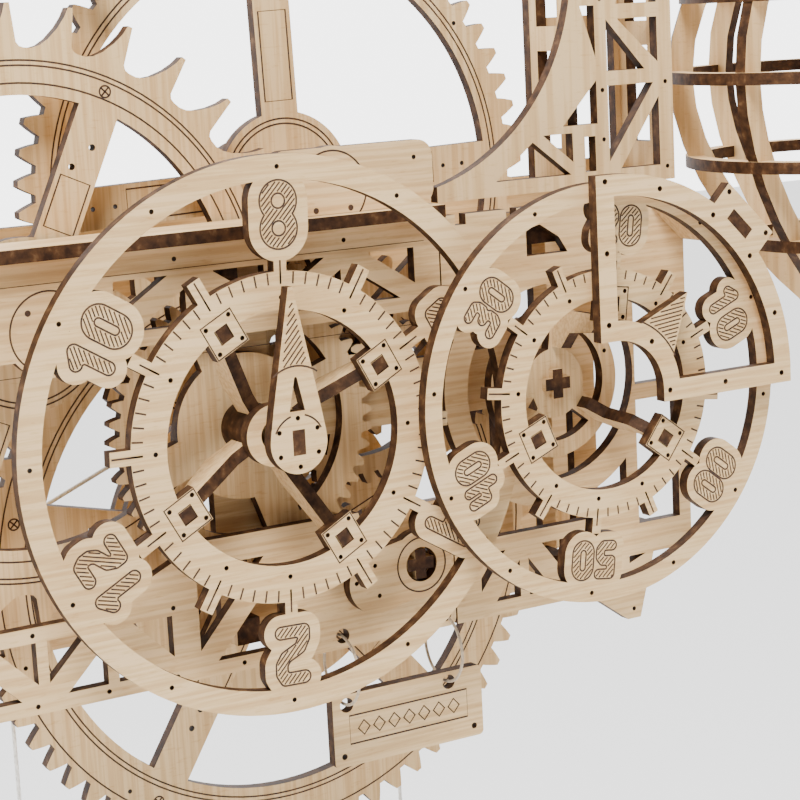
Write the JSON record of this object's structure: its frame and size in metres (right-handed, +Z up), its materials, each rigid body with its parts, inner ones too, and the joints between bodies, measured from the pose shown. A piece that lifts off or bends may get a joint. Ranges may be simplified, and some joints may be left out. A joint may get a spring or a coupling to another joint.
{
  "type": "wooden mechanical wall clock puzzle",
  "caption": "Weight-driven wall clock puzzle of laser-cut plywood with turning hour and minute dials, lattice tower, gear train, pendulum and balloon cage.",
  "frame": {"origin": "mouth of the wall hanging hole, on the wall plane", "axes": "+X to the right seen from the front, +Y into the wall, +Z up"},
  "size_m": [0.3555, 0.1065, 0.3],
  "materials": {
    "dial_plywood": "bare birch plywood, laser engraved",
    "frame_plywood": "bare birch plywood, burnt cut edges",
    "cord": "white thread"
  },
  "bodies": {
    "root": {"upper_front_truss": "frame_plywood", "lower_front_truss": "frame_plywood", "right_front_plate": "frame_plywood", "front_shelf": "frame_plywood", "tower_front": "frame_plywood", "tower_back": "frame_plywood", "tower_side_walls": "frame_plywood", "winding_bearing_plate": "frame_plywood", "bearing_cocks": "frame_plywood", "inner_bridge": "frame_plywood", "minute_rear_bridge": "frame_plywood", "frame_posts": "frame_plywood", "back_frame": "frame_plywood", "window_frame": "dial_plywood", "window_bracket": "frame_plywood", "hour_post": "frame_plywood", "hour_hand": "dial_plywood", "balloon_ribs": "frame_plywood", "balloon_rings": "frame_plywood", "balloon_mast": "frame_plywood", "balloon_basket": "frame_plywood", "balloon_arm": "frame_plywood", "pulley_pin": "frame_plywood", "cord_over_drum": "cord"},
    "great_wheel": {"great_wheel": "frame_plywood", "great_arbor": "frame_plywood", "cord_drum": "frame_plywood", "winding_gear": "frame_plywood"},
    "winding_arbor": {"winding_arbor": "frame_plywood", "winding_pinion": "frame_plywood"},
    "centre_wheel": {"centre_wheel": "frame_plywood", "centre_pinion": "frame_plywood", "centre_arbor": "frame_plywood"},
    "escape_wheel": {"escape_wheel": "frame_plywood", "escape_pinion": "frame_plywood", "escape_arbor": "frame_plywood"},
    "minute_dial": {"minute_dial": "dial_plywood", "minute_dial_arms": "frame_plywood", "minute_hub": "frame_plywood", "minute_arbor": "frame_plywood", "minute_pinion": "frame_plywood", "minute_drive_pinion": "frame_plywood"},
    "motion_wheel": {"motion_wheel": "frame_plywood", "motion_pinion": "frame_plywood", "motion_arbor": "frame_plywood"},
    "hour_dial": {"hour_dial": "dial_plywood", "hour_dial_arms": "frame_plywood", "hour_sleeve": "frame_plywood", "hour_gear": "frame_plywood"},
    "guide_pulley": {"guide_pulley": "frame_plywood"},
    "pendulum": {"anchor": "frame_plywood", "anchor_arbor": "frame_plywood", "pendulum_rod": "frame_plywood", "pendulum_bob": "frame_plywood"},
    "drive_weight": {"drive_weight": "frame_plywood", "drive_cord": "cord"},
    "counter_weight": {"counter_weight": "frame_plywood", "counter_cord": "cord"},
    "nameplate": {"nameplate": "dial_plywood", "nameplate_ties": "cord"}
  },
  "joints": [
    {"name": "great_wheel_turn", "type": "hinge", "parent": "root", "child": "great_wheel", "pos_m": [-0.00216, -0.024, -0.06854], "axis": [0, 1, 0], "continuous": true},
    {"name": "winding_arbor_turn", "type": "hinge", "parent": "root", "child": "winding_arbor", "pos_m": [0.0207, -0.024, -0.0714], "axis": [0, 1, 0], "continuous": true},
    {"name": "centre_wheel_turn", "type": "hinge", "parent": "root", "child": "centre_wheel", "pos_m": [0.004, -0.024, 0.0193], "axis": [0, 1, 0], "continuous": true},
    {"name": "escape_wheel_turn", "type": "hinge", "parent": "root", "child": "escape_wheel", "pos_m": [-0.06709, -0.024, -0.00518], "axis": [0, 1, 0], "continuous": true},
    {"name": "minute_dial_turn", "type": "hinge", "parent": "root", "child": "minute_dial", "pos_m": [0.0623, -0.024, -0.0332], "axis": [0, 1, 0], "continuous": true},
    {"name": "motion_wheel_turn", "type": "hinge", "parent": "root", "child": "motion_wheel", "pos_m": [0.01805, -0.024, -0.01887], "axis": [0, 1, 0], "continuous": true},
    {"name": "hour_dial_turn", "type": "hinge", "parent": "root", "child": "hour_dial", "pos_m": [-0.02, -0.024, -0.033], "axis": [0, 1, 0], "continuous": true},
    {"name": "guide_pulley_turn", "type": "hinge", "parent": "root", "child": "guide_pulley", "pos_m": [-0.06, -0.024, -0.063], "axis": [0, 1, 0], "continuous": true},
    {"name": "pendulum_swing", "type": "hinge", "parent": "root", "child": "pendulum", "pos_m": [-0.10578, -0.024, 0.08173], "axis": [0, 1, 0], "range_deg": [-2.5, 2.5]},
    {"name": "drive_weight_travel", "type": "slide", "parent": "root", "child": "drive_weight", "axis": [0, 0, -1], "range_m": [-0.012, 0.06], "deforming": ["drive_cord"]},
    {"name": "counter_weight_travel", "type": "slide", "parent": "root", "child": "counter_weight", "axis": [0, 0, -1], "range_m": [-0.06, 0.012], "deforming": ["counter_cord"]},
    {"name": "nameplate_swing", "type": "hinge", "parent": "root", "child": "nameplate", "pos_m": [0.0147, -0.0465, -0.0859], "axis": [1, 0, 0], "range_deg": [-15, 15]}
  ],
  "couplings": [
    {"joint": "winding_arbor_turn", "follows": "great_wheel_turn", "ratio": -2.5},
    {"joint": "centre_wheel_turn", "follows": "great_wheel_turn", "ratio": -5.6667},
    {"joint": "escape_wheel_turn", "follows": "great_wheel_turn", "ratio": 37.778},
    {"joint": "minute_dial_turn", "follows": "great_wheel_turn", "ratio": 28.333},
    {"joint": "motion_wheel_turn", "follows": "great_wheel_turn", "ratio": -9.4444},
    {"joint": "hour_dial_turn", "follows": "great_wheel_turn", "ratio": 2.3611},
    {"joint": "guide_pulley_turn", "follows": "great_wheel_turn", "ratio": 3.8125},
    {"joint": "counter_weight_travel", "follows": "drive_weight_travel", "ratio": -1}
  ]
}
